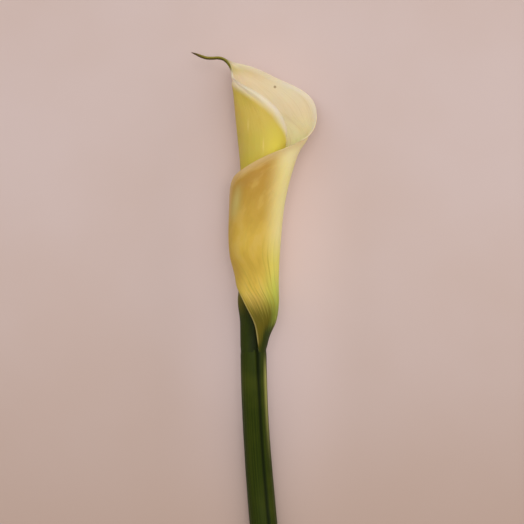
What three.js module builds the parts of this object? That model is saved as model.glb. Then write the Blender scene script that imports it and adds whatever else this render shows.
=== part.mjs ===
// A cut calla lily lying on a surface: a thick green stem, a rolled funnel-shaped
// spathe that ends in a thin tail, and the spadix that stands inside the funnel.
//
// Units are millimetres. The flower is modelled in its own frame: +Y runs up the
// flower, +Z is the side that faces up as it lies, and the origin is where the spathe
// joins the stem. At the end the whole group is set down so that the part's origin is
// under the middle of its box, on the surface that it lies on.

import * as THREE from "three";

// ---- Driving dimensions ----
const stemDiameter = 13;
const stemLength = 252; // from the spathe's base down to the cut end
const stemBend = 30; // how far the cut end has drifted sideways
const stemSag = 80; // length over which the stem comes down to the surface
const cutSlant = 4; // how much longer the cut end is on one side

const spatheHeight = 144; // from its base to the root of the tail
const mouthWidth = 45; // across the open mouth
const spatheThickness = 1.3; // in the body of the blade
const marginThickness = 0.7; // at its free margins
const marginTaper = 9; // width of the strip over which the blade thins
const lapClearance = 0.35; // between the two layers where the blade laps itself
const tailDiameter = 1.3;
const tailReach = 20; // how far the tail points away to the side

const neckHeight = 8; // the stem's end inside the base of the spathe
const spadixLength = 64;
const spadixDiameter = 7.4;
const fitGap = 0.3; // between pieces that grow on each other

// ---- Fineness ----
const stemSides = 24;
const stemRings = 36;
const outerColumns = 22; // across the outer half of the blade
const innerColumns = 13; // across its inner half
const spadixSides = 20;

const stemRadius = stemDiameter / 2;
const nominal = { spatheHeight: 144, mouthWidth: 45, stemRadius: 6.5, tailReach: 20 };

// ---- Curves through hand-set stations ----

// A smooth value for each named column of a list of stations, keyed by the first column.
function through(columns, rows) {
  const slope = (c, i) => {
    const a = rows[Math.max(i - 1, 0)];
    const b = rows[Math.min(i + 1, rows.length - 1)];
    return (b[c] - a[c]) / (b[0] - a[0]);
  };
  return (key) => {
    const last = rows.length - 2;
    const found = rows.findIndex((row) => row[0] > key) - 1;
    const i = found < -1 ? last : Math.min(Math.max(found, 0), last);
    const span = rows[i + 1][0] - rows[i][0];
    const t = THREE.MathUtils.clamp((key - rows[i][0]) / span, 0, 1);
    const at = {};
    columns.forEach((name, k) => {
      const c = k + 1;
      const rise = t * t * (3 - 2 * t);
      at[name] =
        rows[i][c] * (1 - rise) +
        rows[i + 1][c] * rise +
        slope(c, i) * span * t * (1 - t) ** 2 -
        slope(c, i + 1) * span * t * t * (1 - t);
    });
    return at;
  };
}

const smooth = (x, from, to) => THREE.MathUtils.smoothstep(x, from, to);
const sine = (degrees) => Math.sin(THREE.MathUtils.degToRad(degrees));
const cosine = (degrees) => Math.cos(THREE.MathUtils.degToRad(degrees));

// ---- Spathe: the tube that the blade is rolled into ----

// By height: the tube's left and right sides, its depth behind and in front, the
// half width and depth of the inner roll, and how loosely the outer lap stands off.
const tubeAt = through(
  ["left", "right", "behind", "front", "rollWidth", "rollDepth", "loose"],
  [
    [0, -6.5, 6.5, 6.5, 6.5, 5.9, 5.5, 0],
    [7, -6.7, 8.3, 7.5, 7.5, 6.8, 5.8, 0.1],
    [14.5, -7, 11.6, 8.8, 8.8, 7.8, 6.9, 0.2],
    [23, -8, 12.9, 9.8, 9.5, 8.8, 7.9, 0.3],
    [30, -7.4, 12.7, 9.6, 9.7, 8.5, 8, 0.3],
    [37, -5.9, 12.7, 9.3, 9.8, 8, 8, 1.8],
    [46, -5.7, 13.1, 9.3, 10, 7.8, 8, 4.6],
    [57, -6, 14.1, 9.8, 10.5, 8.5, 8.5, 5],
    [70, -6.2, 15.6, 10.8, 11.3, 9.5, 9.3, 4.1],
    [80, -6.4, 17.6, 11.9, 12.1, 10.6, 10.4, 3.7],
    [90, -6.8, 20.3, 13.1, 13, 11.6, 11.2, 1.9],
    [99, -7.5, 23.2, 14.5, 14, 12.4, 11.8, 0.9],
    [106, -8.2, 27, 15.7, 14.5, 13.2, 12.2, 0.2],
    [112, -8.8, 30.8, 16.6, 14.5, 13.1, 12.4, 0],
    [119, -9.5, 34.4, 17.6, 14.5, 13.2, 12.5, 0],
    [128, -10.4, 39, 18.4, 14.5, 13.2, 12.1, 0],
    [137, -11.2, 40.6, 17.5, 14, 12.4, 10.5, 0],
    [144, -11.3, 41.2, 10, 10, 11, 10, 0],
  ]
);
const turnInward = 6; // how far the inner roll closes in over one more turn

// A point on the outside of the tube. The angle is 0 on the right, 90 underneath and
// 180 on the left. Past 180 it is the inner roll, and below 0 it is the outer lap.
function onTube(angle, height, curl) {
  const station = (height * nominal.spatheHeight) / spatheHeight;
  const tube = tubeAt(THREE.MathUtils.clamp(station, 0, nominal.spatheHeight));
  const girth = THREE.MathUtils.lerp(
    stemRadius / nominal.stemRadius,
    mouthWidth / nominal.mouthWidth,
    smooth(station, 0, 25)
  );
  if (angle > 180) {
    const closing = (turnInward * Math.max(angle - 270, 0)) / 360 - curl;
    return new THREE.Vector3(
      girth * (tube.left + tube.rollWidth + (tube.rollWidth - closing) * cosine(angle)),
      height,
      -girth * (tube.rollDepth - closing) * sine(angle)
    );
  }
  const lap = (spatheThickness + lapClearance) / girth + tube.loose;
  const lift = lap * smooth(-angle, 0, 150) + curl;
  const halfWidth = (tube.right - tube.left) / 2;
  const depth = angle > 0 ? tube.behind : tube.front;
  return new THREE.Vector3(
    girth * (tube.left + halfWidth + (halfWidth + lift) * cosine(angle)),
    height,
    -girth * (depth + lift) * sine(angle)
  );
}

// ---- Spathe: the blade on that tube ----

// Ribs cross the blade from margin to margin. For each: the height and angle where it
// crosses the midrib, the outer margin and the inner margin, how far each margin curls
// out, and how far the rib has left the tube to follow the tail, sideways, up and back.
const ribAt = through(
  [
    "midHeight", "midAngle", "outerHeight", "outerAngle", "innerHeight", "innerAngle",
    "outerCurl", "innerCurl", "leanSide", "leanUp", "leanBack",
  ],
  [
    [0, 0, 100, 0, -67, 0, 298, 0, 0, 0, 0, 0],
    [1, 7, 104, 7, -84, 7, 315, 0, 0, 0, 0, 0],
    [2, 14.5, 109, 15.5, -106, 14.5, 332, 0, 0, 0, 0, 0],
    [3, 23, 115, 25.5, -140, 23, 350, 0, 0, 0, 0, 0],
    [4, 32, 121, 34, -176, 32, 362, 0.2, 0, 0, 0, 0],
    [5, 44.5, 130, 47, -203, 43.5, 378, 0.3, 0, 0, 0, 0],
    [6, 57, 139, 59.5, -203, 54.5, 388, 0.5, 0, 0, 0, 0],
    [7, 69.5, 148, 70.5, -188, 65.5, 394, 0.9, 0, 0, 0, 0],
    [8, 82, 156, 78.6, -173, 75.5, 396, 0.9, 0, 0, 0, 0],
    [9, 93.5, 163, 84.6, -158, 84.5, 393, 0.9, 0, 0, 0, 0],
    [10, 103.5, 168, 90, -127, 92, 387, 0.9, 0, 0, 0, 0],
    [11, 112, 172, 96, -88, 98.5, 380, 1.2, 0.2, 0, 0, 0],
    [12, 118.5, 175, 100.5, -57, 103.5, 371, 1.1, 0.6, 0, 0, 0],
    [13, 124, 177, 105, -24, 108.5, 352, 1.05, 1, 0, 0, 0],
    [14, 128, 179, 111, 3, 113.5, 329, 1.1, 1.3, 0, 0, 0],
    [15, 130.5, 180, 120.5, 30, 118.5, 304, 1.3, 1.4, 0, 0, 0],
    [16, 132.5, 180, 129.5, 57, 124.5, 268, 1.4, 1.4, 0, 0, 0],
    [17, 134.3, 180, 135.3, 80, 130.2, 228, 1, 0.6, 0, 0, 0],
    [18, 136, 180, 139.9, 105, 133.8, 200, 0.6, 0.15, 0, 0, 0],
    [19, 137.6, 180, 142.6, 125, 136.4, 188, 0.3, 0, -0.1, 0, 0],
    [20, 139.6, 180, 143.7, 143, 139.1, 185, 0, 0, -0.7, 0, 0],
    [21, 141.6, 180, 143.8, 158, 141.4, 184.5, 0, 0, -1.9, 0.2, 0],
    [22, 143, 180, 143.5, 171, 142.9, 184.4, 0, 0, -3.9, 1, 0.1],
    [23, 143.5, 180, 143.5, 177.6, 143.5, 184.4, 0, 0, -6.3, 1.7, 0.2],
    [24, 143.5, 180, 143.5, 177.6, 143.5, 184.4, 0, 0, -9.3, 1.9, 0.4],
    [25, 143.5, 180, 143.5, 177.6, 143.5, 184.4, 0, 0, -12.5, 2.2, 0.7],
    [26, 143.5, 180, 143.5, 177.8, 143.5, 184.2, 0, 0, -15.5, 3, 1.1],
    [27, 143.5, 180, 143.5, 178, 143.5, 184, 0, 0, -18, 4.1, 1.5],
    [28, 143.5, 180, 143.5, 178.4, 143.5, 183.4, 0, 0, -20, 5.1, 1.8],
  ]
);
const tailRib = 23; // the rib where the blade has narrowed to the tail
const lastRib = 28;
const curlWidth = 8; // the strip along a margin that curls

// A point on the outside of the blade: rib is the way up, and across runs from -1 at
// the inner margin through 0 at the midrib to 1 at the outer margin.
function onBlade(rib, across) {
  const at = ribAt(rib);
  const grow = spatheHeight / nominal.spatheHeight;
  const side = across < 0 ? "inner" : "outer";
  const reach = Math.abs(across);
  const angle = THREE.MathUtils.lerp(at.midAngle, at[side + "Angle"], reach);
  const droop = at[side + "Height"] - at.midHeight;
  const toMargin = (1 - reach) * halfWidthOf(at, side);
  const curl = at[side + "Curl"] * Math.max(1 - toMargin / curlWidth, 0) ** 2;
  const point = onTube(angle, grow * (at.midHeight + droop * reach ** 2), curl);
  const tail = tailReach / nominal.tailReach;
  return point.add(
    new THREE.Vector3(tail * at.leanSide, tail * at.leanUp, -tail * at.leanBack)
  );
}

// Roughly how wide one half of the blade is along a rib.
function halfWidthOf(at, side) {
  const tube = tubeAt(THREE.MathUtils.clamp(at.midHeight, 0, nominal.spatheHeight));
  const radius = side === "inner" ? tube.rollWidth : (tube.right - tube.left) / 2;
  return (radius * Math.abs(at[side + "Angle"] - at.midAngle) * Math.PI) / 180;
}

// Half the blade's thickness, which thins towards a margin and is round at its edge.
function halfThickness(rib, across) {
  const at = ribAt(rib);
  const halfWidth = halfWidthOf(at, across < 0 ? "inner" : "outer");
  const toMargin = (1 - Math.abs(across)) * halfWidth;
  const blade = THREE.MathUtils.lerp(
    marginThickness,
    spatheThickness,
    smooth(toMargin, 0, marginTaper)
  );
  const tail = tailDiameter * Math.sqrt(1 - smooth(rib, lastRib - 2.5, lastRib + 0.3));
  const half = THREE.MathUtils.lerp(blade, tail, smooth(rib, tailRib - 4, tailRib)) / 2;
  const edge = Math.min(half, halfWidth);
  const inFromEdge = Math.min(toMargin / edge, 1);
  return half * Math.sqrt(1 - (1 - inFromEdge) ** 2);
}

const nudge = 0.01;

function bladeNormal(rib, across) {
  const low = Math.max(rib - nudge, 0);
  const high = Math.min(rib + nudge, lastRib);
  const before = Math.max(across - nudge, -1);
  const after = Math.min(across + nudge, 1);
  const up = onBlade(high, across).sub(onBlade(low, across));
  const over = onBlade(rib, after).sub(onBlade(rib, before));
  return up.cross(over).normalize();
}

// ---- Lofting ----

// A closed solid through a stack of closed rings with the same number of points. Each
// end is a fan about its middle, or a strip between the two sides of a flat ring.
function loft(rings, startEnd, endEnd) {
  const count = rings[0].length;
  const points = rings.flat();
  const faces = [];
  rings.slice(1).forEach((_, r) => {
    for (let k = 0; k < count; k++) {
      const a = r * count + k;
      const b = r * count + ((k + 1) % count);
      const [c, d] = [b + count, a + count];
      // Each patch is split along its shorter diagonal.
      const rising = points[a].distanceTo(points[c]) < points[b].distanceTo(points[d]);
      faces.push(...(rising ? [a, b, c, a, c, d] : [a, b, d, b, c, d]));
    }
  });
  const close = (ring, first, flip, kind) => {
    const add = (a, b, c) => faces.push(...(flip ? [a, c, b] : [a, b, c]));
    if (kind === "fan") {
      const middle = new THREE.Vector3();
      ring.forEach((p) => middle.addScaledVector(p, 1 / count));
      points.push(middle);
      for (let k = 0; k < count; k++) {
        add(first + k, points.length - 1, first + ((k + 1) % count));
      }
      return;
    }
    for (let k = 0; k < count / 2; k++) {
      const [a, b] = [first + k, first + k + 1];
      const [c, d] = [first + count - k, first + count - k - 1];
      if (k > 0) add(a, c, d);
      if (d > b) add(a, d, b);
    }
  };
  close(rings[0], 0, false, startEnd);
  close(rings[rings.length - 1], (rings.length - 1) * count, true, endEnd);
  const geometry = new THREE.BufferGeometry().setFromPoints(points);
  geometry.setIndex(faces);
  geometry.computeVertexNormals();
  return geometry;
}

function piece(name, geometry, color, roughness) {
  const material = new THREE.MeshStandardMaterial({ color, roughness, metalness: 0 });
  const mesh = new THREE.Mesh(geometry, material);
  mesh.name = name;
  return mesh;
}

// ---- Spathe ----

// One ring runs along the outside of the blade from the outer margin to the inner one,
// and back along the inside.
function bladeRing(rib) {
  const columns = [];
  for (let c = outerColumns; c >= -innerColumns; c--) {
    const share = c < 0 ? c / innerColumns : c / outerColumns;
    // Columns close up towards the margins, where the blade thins and curls.
    columns.push(Math.sin((share * Math.PI) / 2) * 0.35 + share * 0.65);
  }
  const outside = [];
  const inside = [];
  columns.forEach((across) => {
    const normal = bladeNormal(rib, across);
    const half = halfThickness(rib, across);
    const full = halfThickness(rib, across * 0.5);
    const middle = onBlade(rib, across).addScaledVector(normal, -full);
    outside.push(middle.clone().addScaledVector(normal, half));
    inside.push(middle.clone().addScaledVector(normal, -half));
  });
  // At each margin both sides meet in one point.
  inside.shift();
  inside.pop();
  return [...outside, ...inside.reverse()];
}

function spatheGeometry() {
  const rings = [];
  // Rings are close together where the margins sweep round the mouth.
  for (let rib = 0; rib <= lastRib; rib += rib < 8 || rib >= 20 ? 1 : 0.5) {
    rings.push(bladeRing(rib));
  }
  return loft(rings, "strip", "strip");
}

const spathe = piece("spathe", spatheGeometry(), 0xe8d9a8, 0.55);
spathe.geometry.computeBoundingBox();
const surfaceLevel = spathe.geometry.boundingBox.min.z; // the rim rests here

// ---- Stem ----

// The neck stands clear of the inner layer of the blade, which is tucked in at the base.
const tucked = (tubeAt(0).rollDepth * stemRadius) / nominal.stemRadius;
const neckRadius = tucked - spatheThickness - fitGap;

// Rings of a round bar about a centre line that is given as a function of 0 to 1. Each
// ring is a list of [angle, radius] pairs, and the angles run as they do on the tube.
function barRings(centreAt, count, ringAt) {
  const rings = [];
  for (let i = 0; i < count; i++) {
    const t = i / (count - 1);
    const centre = centreAt(t);
    const along = centreAt(t + 0.001).sub(centreAt(t - 0.001)).normalize();
    const side = along.clone().cross(new THREE.Vector3(0, 0, 1)).normalize();
    const up = side.clone().cross(along);
    rings.push(
      ringAt(t).map(([angle, radius]) =>
        centre
          .clone()
          .addScaledVector(side, radius * cosine(angle))
          .addScaledVector(up, -radius * sine(angle))
      )
    );
  }
  return rings;
}

const flatHalf = 180 / stemSides; // the stem rests on the flat between two corners
const restingHeight = surfaceLevel + stemRadius * cosine(flatHalf);

function stemCentre(t) {
  const down = (1 - t) * stemLength;
  const bend = Math.sign(down) * (Math.abs(down) / stemLength) ** 1.72;
  const sag = restingHeight * smooth(down, 0, stemSag);
  return new THREE.Vector3(stemBend * bend, -fitGap - down, sag);
}

const grooveAngle = flatHalf - 75;
const grooveDepth = 0.55;

function stemRing(t) {
  const ring = [];
  for (let k = 0; k < stemSides; k++) {
    const angle = grooveAngle + k * 2 * flatHalf;
    const groove = k === 0 ? grooveDepth * smooth(t, 0, 0.1) : 0;
    ring.push([angle, stemRadius - groove]);
  }
  return ring;
}

function stemGeometry() {
  const rings = barRings(stemCentre, stemRings, stemRing);
  // The cut slants: the first ring is drawn out on one side.
  rings[0].forEach((p) => {
    p.y -= (cutSlant * (p.x - stemBend)) / stemDiameter;
  });
  // The neck stands inside the spathe's base.
  const neck = [0, 1, neckHeight - 0.6, neckHeight];
  const width = [1, 1, 1, 0.86];
  neck.forEach((height, i) => {
    rings.push(
      stemRing(0).map(([angle, radius]) => {
        const r = (radius * neckRadius * width[i]) / stemRadius;
        const level = i === 0 ? -fitGap : height;
        return new THREE.Vector3(r * cosine(angle), level, -r * sine(angle));
      })
    );
  });
  return loft(rings, "fan", "fan");
}

// ---- Spadix ----

function spadixCentre(t) {
  const drift = 3.1 * t * t;
  return new THREE.Vector3(drift, neckHeight + fitGap + spadixLength * t, 0);
}

function spadixRing(t) {
  const foot = 0.8 + 0.2 * smooth(t, 0, 0.2);
  const tip = Math.sqrt(1 - smooth(t, 0.9, 1.01) ** 2);
  const radius = (spadixDiameter / 2) * foot * (1 - 0.22 * smooth(t, 0.3, 1)) * tip;
  const ring = [];
  for (let k = 0; k < spadixSides; k++) ring.push([(k * 360) / spadixSides, radius]);
  return ring;
}

const spadixRings = 22;

// ---- The flower, set down on the surface ----

const stem = piece("stem", stemGeometry(), 0x4a5a24, 0.5);
const spadix = piece(
  "spadix",
  loft(barRings(spadixCentre, spadixRings, spadixRing), "fan", "fan"),
  0xe3a81c,
  0.8
);

const flower = new THREE.Group();
flower.add(stem, spathe, spadix);
const box = new THREE.Box3().setFromObject(flower);
const middle = box.getCenter(new THREE.Vector3());
flower.position.set(-middle.x, -middle.y, -box.min.z);

export default flower;
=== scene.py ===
"""A cut calla lily, lying on a pale floor and seen from straight above."""

import math

import bmesh
import bpy
import numpy as np
from mathutils import Matrix, Vector
from mathutils.kdtree import KDTree


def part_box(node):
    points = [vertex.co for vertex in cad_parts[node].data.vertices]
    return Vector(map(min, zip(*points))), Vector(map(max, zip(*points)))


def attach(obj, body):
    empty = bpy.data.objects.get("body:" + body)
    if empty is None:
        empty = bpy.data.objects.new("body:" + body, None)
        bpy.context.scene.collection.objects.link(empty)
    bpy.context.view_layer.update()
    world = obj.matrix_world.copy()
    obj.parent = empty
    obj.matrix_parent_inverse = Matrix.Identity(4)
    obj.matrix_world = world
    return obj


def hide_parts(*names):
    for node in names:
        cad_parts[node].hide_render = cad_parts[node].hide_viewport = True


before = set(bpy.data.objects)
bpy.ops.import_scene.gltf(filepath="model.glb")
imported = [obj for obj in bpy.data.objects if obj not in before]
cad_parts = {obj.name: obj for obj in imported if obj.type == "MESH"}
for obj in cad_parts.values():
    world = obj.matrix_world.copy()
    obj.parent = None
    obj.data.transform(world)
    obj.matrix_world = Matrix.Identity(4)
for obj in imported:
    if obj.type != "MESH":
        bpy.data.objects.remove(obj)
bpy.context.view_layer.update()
MM = 0.001

# ---- Where the flower lies ----
# The stem's axis meets the base of the spathe here. The spathe leans on the back of
# its rim, so its axis runs level, above the surface.
axis_from_right = 33.13 * MM
axis_height = 18.51 * MM
spathe_low, spathe_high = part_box("spathe")
flower_base = Vector((spathe_high[0] - axis_from_right, spathe_low[1], axis_height))

# ---- Camera ----
# Straight above the flower, with the tail at the top of the picture and the stem
# running out at the bottom. It is a short telephoto held a little over half a metre up.
camera_height = 600 * MM
view_width = 262 * MM
view_centre = (4.25 * MM, 43.5 * MM)
lens = bpy.data.cameras.new("camera")
lens.sensor_width = 36
lens.lens = lens.sensor_width * camera_height / view_width
lens.clip_start = 0.02
lens.clip_end = 20
camera = bpy.data.objects.new("camera", lens)
bpy.context.scene.collection.objects.link(camera)
camera.location = flower_base + Vector((*view_centre, camera_height))
bpy.context.scene.camera = camera

# ---- Floor ----
# A sheet of matt warm-grey paper, far wider than the flower. It is a little darker
# towards the stem's cut end, and painted paler round the spathe: a pool of painted
# light laid over the flower's shadow.
floor_width = 6
bpy.ops.object.select_all(action="DESELECT")
bpy.ops.mesh.primitive_plane_add(size=floor_width)
floor = bpy.context.object
floor.name = "floor"


class Socket:
    """A node's output, with the maths of shading as plain expressions."""

    def __init__(self, tree, out):
        self.tree = tree
        self.out = out

    def node(self, kind, settings=None, *values, output=0, **named):
        made = self.tree.nodes.new(kind)
        for name, value in (settings or {}).items():
            setattr(made, name, value)
        for key, value in (*enumerate(values), *named.items()):
            if isinstance(key, str):
                key = key.replace("_", " ")
            if isinstance(value, Socket):
                self.tree.links.new(value.out, made.inputs[key])
            elif value is not None:
                made.inputs[key].default_value = value
        return Socket(self.tree, made.outputs[output] if made.outputs else None)

    def maths(self, operation, *values):
        return self.node("ShaderNodeMath", {"operation": operation}, *values)

    def __add__(self, other):
        return self.maths("ADD", self, other)

    def __sub__(self, other):
        return self.maths("SUBTRACT", self, other)

    def __mul__(self, other):
        return self.maths("MULTIPLY", self, other)

    def __pow__(self, other):
        return self.maths("POWER", self, other)

    def __rsub__(self, other):
        return self.maths("SUBTRACT", other, self)

    __radd__ = __add__
    __rmul__ = __mul__

    def step(self, low, high):
        """0 below low and 1 above high, with a smooth rise between."""
        settings = {"interpolation_type": "SMOOTHSTEP"}
        ends = (low, high, 0, 1) if low < high else (high, low, 1, 0)
        return self.node("ShaderNodeMapRange", settings, self, *ends)

    def near(self, centre, width):
        """1 at centre, falling smoothly to 0 at width away on both sides."""
        away = self.maths("ABSOLUTE", self - centre)
        return away.step(width, 0)

    def tint(self, colour, other):
        """colour where this is 0, and other where it is 1."""
        mixed = self.node("ShaderNodeMix", {"data_type": "RGBA"}, output=2)
        node = mixed.out.node
        for key, value in ((0, self), (6, colour), (7, other)):
            if isinstance(value, Socket):
                self.tree.links.new(value.out, node.inputs[key])
            elif value is not None:
                node.inputs[key].default_value = (*value, 1) if key else value
        return mixed

    def surface(self, colour, roughness, height=None, depth=0.0, **constants):
        """The material's skin: what varies, then what is the same all over."""
        normal = None
        if height is not None:
            normal = self.node("ShaderNodeBump", None, Distance=depth, Height=height)
        skin = self.node(
            "ShaderNodeBsdfPrincipled",
            None,
            Base_Color=colour,
            Roughness=roughness,
            Normal=normal,
            **constants,
        )
        self.node("ShaderNodeOutputMaterial", None, Surface=skin)


def finish(piece, name, second=False):
    """A new procedural material on a piece, ready for its nodes."""
    material = bpy.data.materials.new(name)
    material.use_nodes = True
    material.node_tree.nodes.clear()
    if not second:
        piece.data.materials.clear()
    piece.data.materials.append(material)
    return Socket(material.node_tree, None)


def rgb(red, green, blue):
    """An ordinary display colour as the light it stands for."""
    shares = [level / 255 for level in (red, green, blue)]
    return tuple(s / 12.92 if s < 0.04045 else ((s + 0.055) / 1.055) ** 2.4 for s in shares)


paper = finish(floor, "warm_paper")
where = paper.node("ShaderNodeTexCoord", output=3)
mottle = paper.node("ShaderNodeTexNoise", None, Vector=where, Scale=9.0, Detail=3.0)
tone = mottle.step(0.3, 0.7).tint(rgb(210, 190, 186), rgb(206, 184, 177))
up_floor = paper.node("ShaderNodeSeparateXYZ", None, where, output=1)
tone = up_floor.step(0.12, -0.1).tint(tone, rgb(190, 164, 150))
across_floor = paper.node("ShaderNodeSeparateXYZ", None, where) - flower_base.x
# Painted light: a paler patch round the spathe, laid over the flower's shadow.
painted_light_pool = across_floor.near(0.004, 0.055) * (up_floor - flower_base.y).near(0.04, 0.17)
tone = (painted_light_pool * 0.7).tint(tone, rgb(240, 217, 215))
paper.surface(tone, 0.9, Specular_IOR_Level=0.1)

# ---- Light ----
# A broad soft light straight overhead, one as strong on the right, where the mouth opens,
# a weaker one on the left, and an even pale surround, as in a studio with white walls.
world = bpy.data.worlds.new("studio")
bpy.context.scene.world = world
world.use_nodes = True
sky = world.node_tree.nodes["Background"]
sky.inputs["Color"].default_value = (1.0, 0.97, 0.94, 1)
sky.inputs["Strength"].default_value = 0.27
middle_of_flower = Vector((0, 0.05, 0))


def soft_light(name, watts, size, place, colour):
    """A square lamp that faces the middle of the flower."""
    lamp = bpy.data.lights.new(name, "AREA")
    lamp.energy = watts
    lamp.size = size
    lamp.color = colour
    light = bpy.data.objects.new(name, lamp)
    bpy.context.scene.collection.objects.link(light)
    light.location = flower_base + Vector(place)
    toward = flower_base + middle_of_flower - light.location
    light.rotation_euler = toward.to_track_quat("-Z", "Y").to_euler()


soft_light("overhead_light", 5.8, 0.7, (0.05, 0.15, 1.25), (1.0, 0.98, 0.96))
soft_light("right_light", 5.8, 1.3, (0.8, 0.4, 0.8), (1.0, 0.97, 0.93))
soft_light("left_light", 4.0, 1.3, (-0.7, 0.35, 0.9), (1.0, 0.98, 0.96))
bpy.context.scene.view_settings.view_transform = "Standard"

# ---- Spathe ----
# The flower's one petal-like leaf: waxy and a little over a millimetre thick, rolled
# into a funnel. Its outer half wraps right round the inner one and laps over it in
# front, and at the top it draws out into a thin tail.
stem_radius = 6.5
blade_thickness = 1.3
margin_thickness = 0.55
margin_taper = 9.0
foot_thinness = 0.3
lap_clearance = 0.35
lap_turn = 150.0
tail_diameter = 1.65


def through(rows):
    """Smooth curves through listed stations, keyed by their first column."""
    rows = np.array(rows, float)
    keys, values = rows[:, 0], rows[:, 1:]
    last = len(keys) - 1
    below = np.maximum(np.arange(last + 1) - 1, 0)
    above = np.minimum(np.arange(last + 1) + 1, last)
    slopes = (values[above] - values[below]) / (keys[above] - keys[below])[:, None]

    def at(key):
        i = np.clip(np.searchsorted(keys, key, side="right") - 1, 0, last - 1)
        span = keys[i + 1] - keys[i]
        t = np.clip((key - keys[i]) / span, 0, 1)
        span, t = span[..., None], t[..., None]
        rise = t * t * (3 - 2 * t)
        curve = values[i] * (1 - rise) + values[i + 1] * rise
        curve += slopes[i] * span * t * (1 - t) ** 2
        curve -= slopes[i + 1] * span * t * t * (1 - t)
        return np.moveaxis(curve, -1, 0)

    return at


def ease(value, low, high):
    """0 at low and 1 at high, or beyond them, with a smooth rise between."""
    t = np.clip((value - low) / (high - low), 0, 1)
    return t * t * (3 - 2 * t)


# Height; the tube's left and right sides; its depth behind and in front; the inner
# roll's half width and depth; and how loosely the outer lap stands off.
tube_at = through(
    [
        [0, -6.5, 6.5, 6.5, 6.5, 5.9, 5.5, 0],
        [7, -6.7, 8.3, 7.5, 7.5, 6.8, 5.8, 0.1],
        [14.5, -7, 11.6, 8.8, 8.8, 7.8, 6.9, 0.2],
        [23, -8, 12.9, 9.8, 9.5, 8.8, 7.9, 0.3],
        [30, -7.4, 12.7, 9.6, 9.7, 8.5, 8, 0.3],
        [37, -5.9, 12.7, 9.3, 9.8, 8, 8, 1.8],
        [46, -5.7, 13.1, 9.3, 10, 7.8, 8, 4.6],
        [57, -6, 14.1, 9.8, 10.5, 8.5, 8.5, 5],
        [70, -6.2, 15.6, 10.8, 11.3, 9.5, 9.3, 4.1],
        [80, -6.4, 17.6, 11.9, 12.1, 10.6, 10.4, 3.7],
        [90, -6.8, 20.3, 13.1, 13, 11.6, 11.2, 1.9],
        [99, -7.5, 23.2, 14.5, 14, 12.4, 11.8, 0.9],
        [106, -8.2, 27.7, 15.7, 14.5, 13.2, 12.2, 0.2],
        [112, -8.8, 31.5, 16.6, 14.5, 13.1, 12.4, 0],
        [119, -9.5, 34.7, 17.6, 14.5, 13.2, 12.5, 0],
        [128, -10.4, 39, 18.4, 14.5, 13.2, 12.1, 0],
        [137, -11.2, 40.6, 17.5, 14, 12.4, 10.5, 0],
        [144, -11.3, 41.2, 10, 10, 11, 10, 0],
    ]
)

# Rib; the height and angle where it crosses the midrib, the outer margin and the inner
# margin; how far each margin curls out; and how far the rib has gone off with the tail.
rib_at = through(
    [
        [0, -1.2, 100, -1.2, -67, -1.2, 305, 0, 0, 0, 0, 0],
        [1, 7, 104, 7, -84, 7, 315, 0, 0, 0, 0, 0],
        [2, 14.5, 109, 15.5, -106, 14.5, 332, 0, 0, 0, 0, 0],
        [3, 23, 115, 25.5, -132, 23, 350, 0, 0, 0, 0, 0],
        [4, 32, 121, 33.5, -165, 32, 362, 0.2, 0, 0, 0, 0],
        [5, 44.5, 130, 47, -203, 43.5, 378, 0.3, 0, 0, 0, 0],
        [6, 57, 139, 57.5, -203, 54.5, 388, 0.5, 0, 0, 0, 0],
        [7, 69.5, 148, 66, -186, 65.5, 394, 0.8, 0, 0, 0, 0],
        [8, 82, 156, 76, -173, 75.5, 396, 1, 0, 0, 0, 0],
        [9, 93.5, 163, 84.4, -158, 84.5, 393, 1, 0, 0, 0, 0],
        [10, 103.5, 168, 90, -127, 92, 387, 0.9, 0, 0, 0, 0],
        [11, 112, 172, 96, -88, 98.5, 380, 1.2, 0.2, 0, 0, 0],
        [12, 118.5, 175, 99.8, -57, 103.5, 371, 0.9, 0.6, 0, 0, 0],
        [13, 124, 177, 103.6, -24, 108.5, 352, 0.5, 1, 0, 0, 0],
        [14, 128, 179, 109, 3, 113.7, 329, 0.3, 1.3, 0, 0, 0],
        [15, 130.5, 180, 119.3, 30, 119.3, 304, 0.3, 1.4, 0, 0, 0],
        [16, 132.5, 180, 129.2, 57, 126.2, 268, 0.3, 1.4, 0, 0, 0],
        [17, 134.3, 180, 135.1, 80, 132, 228, 0.3, 0.9, 0, 0, 0],
        [18, 136, 180, 139.9, 105, 135, 200, 0.3, 0.3, 0, 0, 0],
        [19, 137.6, 180, 142.6, 125, 136.9, 188, 0.2, 0, 0.1, 0, 0],
        [20, 139.6, 180, 143.7, 143, 139.1, 185, 0, 0, -0.3, 0, 0],
        [21, 141.6, 180, 143.8, 158, 141.4, 184.5, 0, 0, -1.5, 0.2, 0],
        [22, 143, 180, 143.5, 171, 142.9, 184.4, 0, 0, -3.7, 1, 0.1],
        [23, 143.5, 180, 143.5, 177.6, 143.5, 184.4, 0, 0, -6.3, 1.2, 0.2],
        [24, 143.5, 180, 143.5, 177.6, 143.5, 184.4, 0, 0, -9.3, 1.1, 0.4],
        [25, 143.5, 180, 143.5, 177.6, 143.5, 184.4, 0, 0, -12.5, 1.3, 0.7],
        [26, 143.5, 180, 143.5, 177.8, 143.5, 184.2, 0, 0, -15.5, 2.4, 1.1],
        [27, 143.5, 180, 143.5, 178, 143.5, 184, 0, 0, -18, 3.8, 1.5],
        [28, 143.5, 180, 143.5, 178.4, 143.5, 183.4, 0, 0, -20, 5, 1.8],
    ]
)
tail_rib = 23
last_rib = 28
outer_curl, inner_curl = 6, 7
margins_meet = 14
curl_width = 8.0
turn_inward = 6.0
marks_on_margin = 2000
beyond_reach = 50


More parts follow.
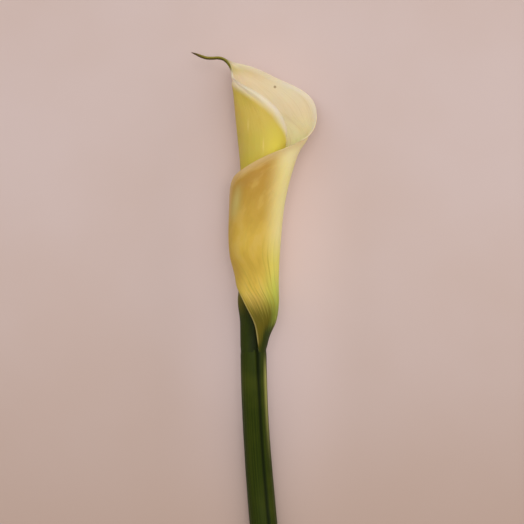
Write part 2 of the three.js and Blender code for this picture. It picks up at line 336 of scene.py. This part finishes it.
def on_tube(angle, height, curl):
    """Points on the outside of the tube. Angles are 0 on the right, 90 underneath and
    180 on the left; past 180 is the inner roll, and below 0 the outer lap."""
    left, right, behind, front, roll_width, roll_depth, loose = tube_at(height)
    side, down = np.cos(np.radians(angle)), np.sin(np.radians(angle))
    closing = turn_inward * np.maximum(angle - 270, 0) / 360 - curl
    rolled = angle > 180
    lift = (blade_thickness + lap_clearance + loose) * ease(-angle, 0, lap_turn) + curl
    half = (right - left) / 2
    x = np.where(
        rolled,
        left + roll_width + (roll_width - closing) * side,
        left + half + (half + lift) * side,
    )
    depth = np.where(angle > 0, behind, front)
    z = np.where(rolled, -(roll_depth - closing) * down, -(depth + lift) * down)
    return np.stack([x, height, z], axis=-1)


def on_blade(rib, across):
    """Points on the outside of the blade, by the tube they are rolled into: across is -1
    at the inner margin, 0 at the midrib and 1 at the outer margin."""
    (mid_height, mid_angle, outer_height, outer_angle, inner_height, inner_angle,
     _, _, lean_side, lean_up, lean_back) = rib_at(rib)
    inner = across < 0
    reach = np.abs(across)
    angle = mid_angle + (np.where(inner, inner_angle, outer_angle) - mid_angle) * reach
    droop = np.where(inner, inner_height, outer_height) - mid_height
    lean = np.stack([lean_side, lean_up, -lean_back], axis=-1)
    return angle, mid_height + droop * reach**1.3, lean


def half_width(rib, across):
    """How wide the blade is along a rib, from its midrib to the margin on this side."""
    mid_height, mid_angle, _, outer_angle, _, inner_angle = rib_at(rib)[:6]
    left, right, _, _, roll_width, _, _ = tube_at(mid_height)
    sweep = np.where(across < 0, inner_angle, outer_angle) - mid_angle
    radius = np.where(across < 0, roll_width, (right - left) / 2)
    return radius * np.radians(np.abs(sweep))


def from_margin(rib, across, flat):
    """How far each point is from the nearest margin, how much that margin curls, and how
    far the point is from the outer margin's line down by the stem."""
    distance = (1 - np.abs(across)) * half_width(rib, across)
    curl = np.zeros_like(distance)
    nearest = np.full_like(distance, beyond_reach)
    crease = np.full_like(distance, beyond_reach)
    marks = np.linspace(0, last_rib, marks_on_margin)
    # The outer margin comes last, because the crease is measured from it.
    for side, column in ((-1, inner_curl), (1, outer_curl)):
        angle, height, lean = on_blade(marks, np.full(len(marks), float(side)))
        line = on_tube(angle, height, 0) + lean
        curls = rib_at(marks)[column]
        tree = KDTree(len(marks))
        for k, place in enumerate(line):
            tree.insert(place, k)
        tree.balance()
        # Past the rib where the margins meet, each point looks at both of them.
        own_side = across * side > (0.4 if side > 0 else 0)
        for spot in zip(*np.nonzero((rib > margins_meet) | own_side)):
            _, k, away = tree.find(flat[spot])
            if away < nearest[spot]:
                nearest[spot], curl[spot] = away, curls[k]
    for spot in zip(*np.nonzero((rib < 5) & (across < 0))):
        crease[spot] = tree.find(flat[spot])[2]
    return np.minimum(distance, nearest), curl, crease


def half_thickness(rib, across, edge):
    """Half the blade's full thickness, and what is left of it in the round margins."""
    body = ease(edge, 0, margin_taper)
    blade = margin_thickness + (blade_thickness - margin_thickness) * body
    blade = blade * (foot_thinness + (1 - foot_thinness) * ease(rib, 0, 0.6))
    tail = tail_diameter * np.sqrt(1 - ease(rib, last_rib - 2.5, last_rib + 0.1))
    half = (blade + (tail - blade) * ease(rib, tail_rib - 4, tail_rib)) / 2
    inward = np.minimum(edge / np.minimum(half, half_width(rib, across)), 1)
    return half, half * np.sqrt(1 - (1 - inward) ** 2)


def cut_into_rings(piece, cuts):
    """Cuts an upright cylinder across into even rings, as many as the cuts multiplied."""
    bpy.ops.object.mode_set(mode="EDIT")
    bpy.ops.mesh.select_mode(type="EDGE")
    for number in cuts:
        bpy.ops.mesh.select_all(action="DESELECT")
        bpy.ops.object.mode_set(mode="OBJECT")
        for edge in piece.data.edges:
            ends = [piece.data.vertices[i].co.z for i in edge.vertices]
            edge.select = abs(ends[0] - ends[1]) > 1e-3
        bpy.ops.object.mode_set(mode="EDIT")
        bpy.ops.mesh.subdivide(number_cuts=number - 1)
    bpy.ops.object.mode_set(mode="OBJECT")


# A tube of fine rings is flattened onto the blade: one half of its wall becomes the
# outside, the other half the inside, and they meet in a round edge at each margin.
columns_round = 400
rings_along = 200
bpy.ops.object.select_all(action="DESELECT")
bpy.ops.mesh.primitive_cylinder_add(
    vertices=columns_round, radius=1, depth=1, end_fill_type="NGON", calc_uvs=False
)
spathe = bpy.context.object
spathe.name = "spathe_petal"
cut_into_rings(spathe, (rings_along // 2, 2))

found = np.empty(len(spathe.data.vertices) * 3)
spathe.data.vertices.foreach_get("co", found)
found = found.reshape(-1, 3)
turn = (np.arctan2(found[:, 1], found[:, 0]) / (2 * math.pi) + 1 + 1e-6) % 1
outside = turn < 0.5
ring = np.rint((found[:, 2] + 0.5) * rings_along).astype(int)
column = np.rint(turn * columns_round).astype(int)
column = np.minimum(column, columns_round - column)

# The blade's middle surface is laid out first, rib by rib, from outer to inner margin,
# with its points closer together towards the margins.
share = 1 - 4 * np.arange(columns_round // 2 + 1) / columns_round
across = 0.9 * np.sin(share * math.pi / 2) + 0.1 * share
rib, across = np.meshgrid(np.linspace(0, last_rib, rings_along + 1), across, indexing="ij")
angle, height, lean = on_blade(rib, across)
edge, curl, crease = from_margin(rib, across, on_tube(angle, height, 0) + lean)
curl = curl * np.maximum(1 - edge / curl_width, 0) ** 2
skin = on_tube(angle, height, curl) + lean


def facing_out(up, over):
    """Unit normals from the two ways along the surface: up it and across it."""
    normals = np.cross(up, over)
    return normals / np.maximum(np.linalg.norm(normals, axis=-1, keepdims=True), 1e-9)


# It faces the way the tube does, and in the tail the way the tail itself does.
normals = facing_out(
    on_tube(angle, height + 0.05, curl) - on_tube(angle, height - 0.05, curl),
    on_tube(angle - 0.2, height, curl) - on_tube(angle + 0.2, height, curl),
)
in_tail = facing_out(np.gradient(skin, axis=0), -np.gradient(skin, axis=1))
share = ease(rib, 19, 21.5)[..., None]
normals = normals * (1 - share) + in_tail * share
normals /= np.linalg.norm(normals, axis=-1, keepdims=True)

# The blade isn't even: it swells and dips a little, its margins wave, and low down in
# front shallow furrows run up from the stem.
tau = 2 * math.pi
furrow_depth = 0.11
drawn_in = 0.25
foot_drawn_in = 0.15
swell = 0.16 * np.sin(tau * (across * 1.7 + rib * 0.09 + 0.2))
swell += 0.12 * np.sin(tau * (across * 3.1 - rib * 0.13 + 0.55))
furrows = np.cos(tau * 11 * (across - 0.61) + 1.5 * np.sin(tau * 3 * across + rib))
furrows *= ease(np.abs(across - 0.6), 0.17, 0.06)
furrows = -furrow_depth * furrows * ease(rib, 0.3, 1.5) * ease(rib, 6.5, 3)
wave = 0.25 * np.sin(tau * (rib * 0.21 + 0.1)) + 0.1 * np.sin(tau * (rib * 0.43 + 0.4))
calm = ease(rib, 0, 3) * ease(rib, tail_rib - 1, tail_rib - 6)
swell += ease(edge, 12, 0) * wave * ease(rib, 6, 9)
shift = calm * swell + furrows - calm * drawn_in
shift -= foot_drawn_in * ease(rib, 0.3, 0)

full, half = half_thickness(rib, across, edge)
middles = skin + normals * (shift - full)[..., None]
face = np.where(outside, 1, -1)[:, None]
points = middles[ring, column] + face * (normals * half[..., None])[ring, column]
places = (points * MM + np.array(flower_base)).astype(np.float32)
places[:, 2] = np.maximum(places[:, 2], 0)
spathe.data.vertices.foreach_set("co", places.ravel())
spathe.data.update()
rib_here = rib[ring, column]
for name, values in (
    ("across", across[ring, column]),
    ("rib", rib_here),
    ("turned", angle[ring, column]),
    ("edge", edge[ring, column]),
    ("crease", crease[ring, column]),
    ("inside", ~outside),
):
    layer = spathe.data.attributes.new(name, "FLOAT", "POINT")
    layer.data.foreach_set("value", values.astype(np.float32))

# The two ends are closed with strips between the outside and the inside.
mesh = bmesh.new()
mesh.from_mesh(spathe.data)
bmesh.ops.delete(mesh, geom=[f for f in mesh.faces if len(f.verts) > 4], context="FACES")
mesh.verts.ensure_lookup_table()
for end in (0, last_rib):
    rims = [e for e in mesh.edges if e.is_boundary]
    rims = [e for e in rims if abs(rib_here[e.verts[0].index] - end) < 0.01]
    rim = {v.index: v for e in rims for v in e.verts}
    order = sorted(rim, key=lambda i: turn[i])
    n = len(order)
    for k in range(n // 2):
        corners = [order[k], order[k + 1], order[(n - k - 1) % n], order[(n - k) % n]]
        if end:
            corners.reverse()
        corners = list(dict.fromkeys(corners))
        mesh.faces.new([rim[i] for i in reversed(corners)])
mesh.to_mesh(spathe.data)
mesh.free()
bpy.ops.object.shade_smooth_by_angle(angle=math.radians(70))

blade = finish(spathe, "waxy_petal")
where = blade.node("ShaderNodeTexCoord", output=3)
sideways = blade.node("ShaderNodeSeparateXYZ", None, where)
sideways = (sideways - flower_base.x) * (1 / MM)
height = blade.node("ShaderNodeSeparateXYZ", None, where, output=1)
height = (height - flower_base.y) * (1 / MM)


def carried(material, name):
    """A number that the mesh itself carries from point to point."""
    return material.node("ShaderNodeAttribute", {"attribute_name": name}, output=2)


over = carried(blade, "across")
way_up = carried(blade, "rib")
turned = carried(blade, "turned")
edge = carried(blade, "edge")
crease = carried(blade, "crease")
inner_face = carried(blade, "inside")
facing = turned.maths("COSINE", turned * math.radians(1))
lap = over.step(0, 0.38)

# Fine veins run up the blade from the stem, side by side, and all meet in the tail.
grain = blade.node("ShaderNodeCombineXYZ", None, over * 55, way_up * 0.35, 0)
fibres = blade.node("ShaderNodeTexNoise", None, Vector=grain, Scale=1.0, Detail=4.0)
grain_fine = blade.node("ShaderNodeCombineXYZ", None, over * 190, way_up * 1.1, 0)
threads = blade.node("ShaderNodeTexNoise", None, Vector=grain_fine, Scale=1.0, Detail=3.0)
cloud = blade.node("ShaderNodeTexNoise", None, Vector=where, Scale=38.0, Detail=3.0)
stretched = blade.node("ShaderNodeCombineXYZ", None, over * 13, way_up * 0.8, 0)
smudge = blade.node("ShaderNodeTexNoise", None, Vector=stretched, Scale=1.0, Detail=3.0)

# Outside: gold in front, paling to cream on the right, partly the petal's own cream and
# partly painted light where the light from the right catches it; with a painted highlight
# high on the right and painted shade low on the left.
gold = height.step(45, 85).tint(rgb(224, 190, 84), rgb(188, 148, 62))
gold = (cloud.step(0.4, 0.7) * 0.3).tint(gold, rgb(184, 144, 46))
gold = (smudge.step(0.5, 0.38) * 0.3).tint(gold, rgb(222, 188, 104))
gold = (smudge.step(0.5, 0.66) * 0.25).tint(gold, rgb(178, 140, 48))
pale = height.step(26, 42).tint(rgb(198, 204, 88), rgb(238, 224, 108))
pale = height.step(40, 60).tint(pale, rgb(255, 233, 158))
# Partly painted light: the side facing the light on the right is painted paler, towards
# cream.
gold = facing.step(-0.1, 0.85).tint(gold, pale)
# Painted highlight: a pale cream patch high on the side facing right.
gold = (height.step(84, 98) * facing.step(0.1, 0.8) * 0.6).tint(gold, rgb(250, 230, 180))
# Painted shade: the side facing left is darkened low down, away from the light.
gold = (facing.step(-0.5, -0.95) * height.step(56, 38) * 0.4).tint(gold, rgb(190, 146, 60))
behind = turned.step(-5, 50) * height.step(50, 95)
gold = (behind * 0.8).tint(gold, rgb(234, 214, 142))
bronze = edge.near(6, 5) * height.step(62, 78)
bronze = bronze * facing.step(0.4, -0.2) * turned.step(10, -30)
gold = (bronze * 0.4).tint(gold, rgb(182, 140, 70))
sage = edge.near(7, 5) * height.near(73, 13) * facing.step(-0.5, -0.8)
gold = (sage * 0.8).tint(gold, rgb(206, 192, 116))
panel = cloud.step(0.35, 0.65).tint(rgb(200, 184, 80), rgb(208, 184, 90))
panel = (smudge.step(0.5, 0.66) * 0.3).tint(panel, rgb(204, 180, 80))
# Partly painted light: lower down, the side facing right is painted a brighter yellow.
panel = (facing.step(-0.3, 0.7) * height.step(118, 98)).tint(panel, rgb(228, 212, 92))
panel = (height.step(99, 90) * 0.5).tint(panel, rgb(204, 186, 62))
dashes = sideways.near(-2.6, 0.8) * height.near(110.9, 4.5)
dashes = dashes + sideways.near(4.9, 0.7) * height.near(100.9, 5)
panel = (dashes * 0.4).tint(panel, rgb(232, 214, 136))
outer = lap.tint(panel, gold)

# Low down it turns olive, then the stem's dark green, sooner in the lap than under it.
from_stem = height - (fibres - 0.5) * (6 + lap * 8) - over.step(0.05, -0.1) * 12
olive = from_stem.step(31, 16)
low = (from_stem - facing.step(0.35, 0.8) * 7 + edge.step(5, 1) * 6).step(15, 3)
greens = low.tint(rgb(102, 92, 20), rgb(46, 57, 6))
# Partly painted light: low down, the side facing right is painted a lighter yellow-green.
greens = (facing.step(0.5, 0.95) * from_stem.step(8, 16)).tint(greens, rgb(142, 154, 58))
outer = olive.tint(outer, greens)
streaks = fibres.step(0.52, 0.72) * height.step(75, 20) * height.step(4, 18) * lap
outer = (streaks * 0.4).tint(outer, rgb(158, 148, 52))
veins = over.near(0.61, 0.011) * height.near(40, 17)
veins = veins + over.near(0.66, 0.01) * height.near(28, 12)
outer = (veins * 0.6).tint(outer, rgb(172, 146, 44))
# Painted shade: near-black in the crevice beside the lap's free edge, low on the inner
# roll.
outer = (crease.step(7, 1) * height.step(30, 20) * 0.8).tint(outer, rgb(16, 20, 5))
outer = (crease.step(2.6, 0.6) * height.step(30, 20)).tint(outer, rgb(7, 8, 2))

# The margins are pale, cream in the inner roll and tan in the outer lap, with a thin
# painted highlight along the lap's free edge down by the stem.
rim = (edge + lap).step(5.6, 1) * height.step(40, 66)
rim_colour = lap.tint(rgb(246, 228, 200), rgb(222, 190, 144))
outer = (rim * (0.95 - lap * 0.3)).tint(outer, rim_colour)
# Painted highlight: a thin light line along the lap's free edge, low down.
line = edge.step(0.9, 0.2) * height.step(62, 40) * height.step(1, 6) * lap
outer = (line * 0.7).tint(outer, rgb(172, 154, 92))

# Inside: cream, a little yellower down in the throat and painted brighter there, as light
# shining through the petal and against the shade inside; with one small brown speck.
speck_side = 10.9
speck_height = 133.5
# Partly painted light: the throat is painted brighter, as if lit through the petal.
cream = height.step(98, 125).tint(rgb(255, 248, 190), rgb(236, 215, 180))
cream = (fibres.step(0.48, 0.7) * 0.3).tint(cream, rgb(216, 190, 138))
cream = (way_up.step(17.8, 20.5) * 0.7).tint(cream, rgb(200, 190, 100))
speck = ((sideways - speck_side) ** 2 + (height - speck_height) ** 2).step(0.9, 0)
cream = (speck * 0.7).tint(cream, rgb(132, 100, 44))
# Partly painted highlight: the inside pales to near-white along the margins, on top of
# their paler colour.
pale_edge = lap.tint(rgb(248, 234, 212), rgb(250, 236, 216))
cream = (edge.step(3.6, 0.6) * 0.7).tint(cream, pale_edge)
# Painted light: a near-white patch inside, by the margin below the tail, lifting the shade
# there.
painted_highlight = edge.step(8, 2) * way_up.near(17.4, 2.2) * over.step(0.1, -0.2)
cream = (painted_highlight * 0.9).tint(cream, rgb(255, 247, 228))
# Painted light: the inside is painted pale cream where the margin folds on the right,
# lifting the shade there.
painted_light_at_fold = edge.step(7, 1) * way_up.near(12.7, 1.6) * over.step(0.4, 0.7)
cream = (painted_light_at_fold * 0.9).tint(cream, rgb(255, 238, 184))

# The tail is green, going brown at its dry tip.
colour = inner_face.tint(outer, cream)
root = way_up.step(18.5, 21) * edge.step(4.5, 0.5) * over.step(0.4, -0.3)
colour = root.tint(colour, rgb(104, 100, 16))
tail = inner_face.tint(rgb(84, 76, 24), rgb(140, 134, 54))
colour = way_up.step(20.3, 22.5).tint(colour, tail)
colour = way_up.step(25, 28).tint(colour, rgb(78, 60, 32))

ridges = fibres * 0.6 + threads * 0.25 + cloud * 0.4
blade.surface(
    colour,
    0.5 + threads * 0.1,
    ridges,
    0.00035,
    Subsurface_Weight=0.35,
    Subsurface_Radius=(0.004, 0.0024, 0.0009),
    Subsurface_Scale=1.0,
    Specular_IOR_Level=0.12,
)
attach(spathe, "root")
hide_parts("spathe")

# ---- Stem ----
# The flower's stalk: a thick, smooth, fleshy bar, green all round. A furrow runs down it
# from the free edge of the spathe, and its lower end was cut off at a slant.
stem_length = 252.0
stem_bend = 30.0
stem_sag = 80.0
cut_slant = 4.0
joint_gap = 0.3
neck_height = 8.0
neck_radius = 3.2
furrow_angle = -66.0
furrow_spread = 7
furrow_sunk = 0.42
plumpness = 0.5
stem_lines = 22
stem_sides = 96
face_insets = (0.04, 0.05, 0.35, 0.3)
resting_height = stem_radius - flower_base.z / MM


def stem_centre(down):
    """The stem's axis, that far below the spathe, in millimetres from the flower's base."""
    share = np.abs(down) / stem_length
    aside = stem_bend * np.sign(down) * share**1.72
    sag = resting_height * ease(down, 0, stem_sag)
    return np.stack([aside, -joint_gap - down, sag], axis=-1)


bpy.ops.object.select_all(action="DESELECT")
bpy.ops.mesh.primitive_cylinder_add(
    vertices=stem_sides, radius=1, depth=1, end_fill_type="NGON", calc_uvs=False
)
stem = bpy.context.object
stem.name = "stem_stalk"
cut_into_rings(stem, (100, 2))

# The cut face is sunk a little inside its rim, and the top draws in to a neck that
# stands inside the spathe.
bpy.ops.object.mode_set(mode="EDIT")
bpy.ops.mesh.select_mode(type="FACE")
bpy.ops.mesh.select_all(action="DESELECT")
bpy.ops.object.mode_set(mode="OBJECT")
for face in stem.data.polygons:
    face.select = len(face.vertices) > 4
bpy.ops.object.mode_set(mode="EDIT")
for width in face_insets:
    bpy.ops.mesh.inset(thickness=width, depth=0)
bpy.ops.object.mode_set(mode="OBJECT")

found = np.empty(len(stem.data.vertices) * 3)
stem.data.vertices.foreach_get("co", found)
found = found.reshape(-1, 3)
angle = np.degrees(np.arctan2(found[:, 1], found[:, 0]))
share = found[:, 2] + 0.5
spread = np.hypot(found[:, 0], found[:, 1])
down = (1 - share) * stem_length
off_furrow = (angle - furrow_angle + 180) % 360 - 180
near_top = ease(down, 30, 0)
plump = plumpness * ease(down, 20, 90) * ease(down, 240, 150)
radius = stem_radius + plump
furrow = np.exp(-((off_furrow / furrow_spread) ** 2)) * ease(down, 246, 230)
radius -= (furrow_sunk + 0.25 * near_top) * furrow
tucked = (1 + 0.5 * ease(off_furrow, -24, -4)) * ease(off_furrow, 4, -6)
radius -= near_top * tucked * np.maximum(-np.sin(np.radians(angle)), 0)
radius -= 0.2 * ease(down, 2.4, 0.3)
radius += 0.035 * np.cos(np.radians(angle * stem_lines))
radius += 0.03 * np.sin(down / 9 + angle / 40)
at_top = share > 0.999
at_cut = share < 0.001
radius = np.where(at_top & (spread > 0.999), radius - 0.05, radius)
neck = at_top & (spread < 0.3)
reach = np.where(neck, neck_radius, radius * spread)
side = np.cos(np.radians(angle)) * reach
up = -np.sin(np.radians(angle)) * reach
centre = stem_centre(down)
centre[:, 2] += plump
ahead = stem_centre(down + 0.5) - stem_centre(down - 0.5)
ahead /= -np.linalg.norm(ahead, axis=-1, keepdims=True)
level = np.cross(ahead, [0, 0, 1])
level /= np.linalg.norm(level, axis=-1, keepdims=True)
rise = np.cross(level, ahead)
points = centre + level * side[:, None] + rise * up[:, None]
points[:, 1] -= np.where(at_cut, cut_slant * side / (2 * stem_radius), 0)
points[:, 1] += np.where(at_cut, 0.5 * ease(spread, 0.97, 0.88), 0)
shoulder = 0.6 + 1.2 * ease(spread, 1, 0.9)
shoulder = np.where(neck, neck_height + joint_gap, shoulder)
points[:, 1] += np.where(at_top, shoulder, 0)
places = points * MM + np.array(flower_base)
places[:, 2] = np.maximum(places[:, 2], 0)
stem.data.vertices.foreach_set("co", places.astype(np.float32).ravel())
stem.data.update()
for name, values in (("round", angle), ("down", down), ("spread", spread)):
    layer = stem.data.attributes.new(name, "FLOAT", "POINT")
    layer.data.foreach_set("value", values.astype(np.float32))
bpy.ops.object.shade_smooth_by_angle(angle=math.radians(40))

skin = finish(stem, "stem_skin")
where = skin.node("ShaderNodeTexCoord", output=3)
along = carried(skin, "down")
around = carried(skin, "round")
lines = skin.node("ShaderNodeCombineXYZ", None, around * 0.28, along * 0.012, 0)
fibres = skin.node("ShaderNodeTexNoise", None, Vector=lines, Scale=1.0, Detail=4.0)
lines_fine = skin.node("ShaderNodeCombineXYZ", None, around * 0.9, along * 0.04, 0)
threads = skin.node("ShaderNodeTexNoise", None, Vector=lines_fine, Scale=1.0, Detail=3.0)
cloud = skin.node("ShaderNodeTexNoise", None, Vector=where, Scale=45.0, Detail=3.0)
green = fibres.step(0.35, 0.65).tint(rgb(38, 49, 6), rgb(54, 65, 11))
green = (cloud.step(0.45, 0.75) * 0.5).tint(green, rgb(72, 78, 18))
green = (along.step(9, 0) * 0.85).tint(green, rgb(48, 58, 8))
# Painted light: a pale strip high on the stem's upper right side, where the light from the
# right falls.
painted_lit_strip = around.near(-26, 22) * along.step(62, 16) * along.step(-1, 14)
green = painted_lit_strip.tint(green, rgb(160, 160, 84))
# Painted shade: the furrow is darkened along its length.
green = (around.near(furrow_angle, 15) * 0.9).tint(green, rgb(18, 26, 4))
skin.surface(
    green,
    0.36 + threads * 0.14,
    fibres * 0.7 + threads * 0.3,
    0.0003,
    Subsurface_Weight=0.08,
    Subsurface_Radius=(0.001, 0.0018, 0.0004),
    Subsurface_Scale=1.0,
    Specular_IOR_Level=0.08,
)

# The cut face shows wet pale tissue, dotted with the ends of the vessels.
tissue = finish(stem, "cut_tissue", second=True)
for face in stem.data.polygons:
    if all(at_cut[i] and spread[i] < 0.97 for i in face.vertices):
        face.material_index = 1
where = tissue.node("ShaderNodeTexCoord", output=3)
cells = tissue.node("ShaderNodeTexVoronoi", {"feature": "F1"}, Vector=where, Scale=700.0)
rim = carried(tissue, "spread").step(0.7, 0.97)
flesh = rim.tint(rgb(206, 212, 160), rgb(128, 150, 82))
flesh = cells.step(0.28, 0.12).tint(flesh, rgb(112, 132, 66))
tissue.surface(flesh, 0.3, 1 - cells, 0.0002, Subsurface_Weight=0.3, Subsurface_Scale=0.001)
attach(stem, "root")
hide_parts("stem")

# ---- Spadix ----
# The upright spike at the heart of the flower. It stands on the stem's neck inside the
# funnel, and is packed all over with tiny rounded florets, in two sets of spirals.
spadix_length = 64.0
spadix_radius = 3.7
spadix_drift = 3.1
bare_foot = 0.13
floret_count = 620
floret_reach = 0.862
floret_radius = 0.62
floret_sunk = 0.42
core_sunk = 0.35
golden_angle = math.radians(137.508)


def spadix_centre(share):
    """The spike's axis, in millimetres from the flower's base."""
    up = neck_height + joint_gap + spadix_length * share
    return Vector((spadix_drift * share * share, up, 0))


def spadix_width(share):
    """The spike's radius: narrower at its foot, tapering up to a round tip."""
    foot = 0.8 + 0.2 * float(ease(share, 0, 0.2))
    taper = 1 - 0.22 * float(ease(share, 0.3, 1))
    tip = math.sqrt(1 - float(ease(share, 0.9, 1.01)) ** 2)
    return spadix_radius * foot * taper * tip


def round_spadix(share, turned, reach):
    """The point that far out from the spike's axis, in the frame's own metres."""
    aside = Vector((math.cos(turned), 0, -math.sin(turned))) * reach
    return flower_base + (spadix_centre(share) + aside) * MM


bpy.ops.object.select_all(action="DESELECT")
bpy.ops.mesh.primitive_cylinder_add(
    vertices=28, radius=1, depth=1, end_fill_type="TRIFAN", calc_uvs=False
)
spadix = bpy.context.object
spadix.name = "spadix_spike"
cut_into_rings(spadix, (60,))
for vertex in spadix.data.vertices:
    share = vertex.co.z + 0.5
    reach = spadix_width(share) - core_sunk * (share > 0.12)
    reach = max(reach * math.hypot(vertex.co.x, vertex.co.y), 0)
    vertex.co = round_spadix(share, math.atan2(vertex.co.y, vertex.co.x), reach)

# Florets follow the golden angle up the spike, above a bare foot.
mesh = bmesh.new()
mesh.from_mesh(spadix.data)
for k in range(floret_count):
    share = bare_foot + floret_reach * k / floret_count
    reach = max(spadix_width(share) - floret_sunk, 0.02)
    place = round_spadix(share, k * golden_angle, reach)
    size = floret_radius * (0.75 + 0.25 * spadix_width(share) / spadix_radius)
    shape = Matrix.Translation(place) @ Matrix.Diagonal((*[size * MM] * 3, 1))
    bmesh.ops.create_icosphere(mesh, subdivisions=2, radius=1, matrix=shape)
mesh.to_mesh(spadix.data)
mesh.free()
bpy.ops.object.shade_smooth_by_angle(angle=math.radians(60))

pollen = finish(spadix, "spadix_florets")
where = pollen.node("ShaderNodeTexCoord", output=3)
grains = pollen.node("ShaderNodeTexNoise", None, Vector=where, Scale=1500.0, Detail=3.0)
patches = pollen.node("ShaderNodeTexNoise", None, Vector=where, Scale=160.0, Detail=2.0)
height = pollen.node("ShaderNodeSeparateXYZ", None, where, output=1)
height = (height - flower_base.y) * (1 / MM)
gold = patches.step(0.35, 0.65).tint(rgb(214, 150, 28), rgb(238, 190, 62))
gold = (grains.step(0.55, 0.75) * 0.5).tint(gold, rgb(250, 222, 120))
gold = height.step(18, 12).tint(gold, rgb(196, 196, 96))
pollen.surface(gold, 0.75, grains, 0.0001, Subsurface_Weight=0.15, Subsurface_Scale=0.001)
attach(spadix, "root")
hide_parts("spadix")
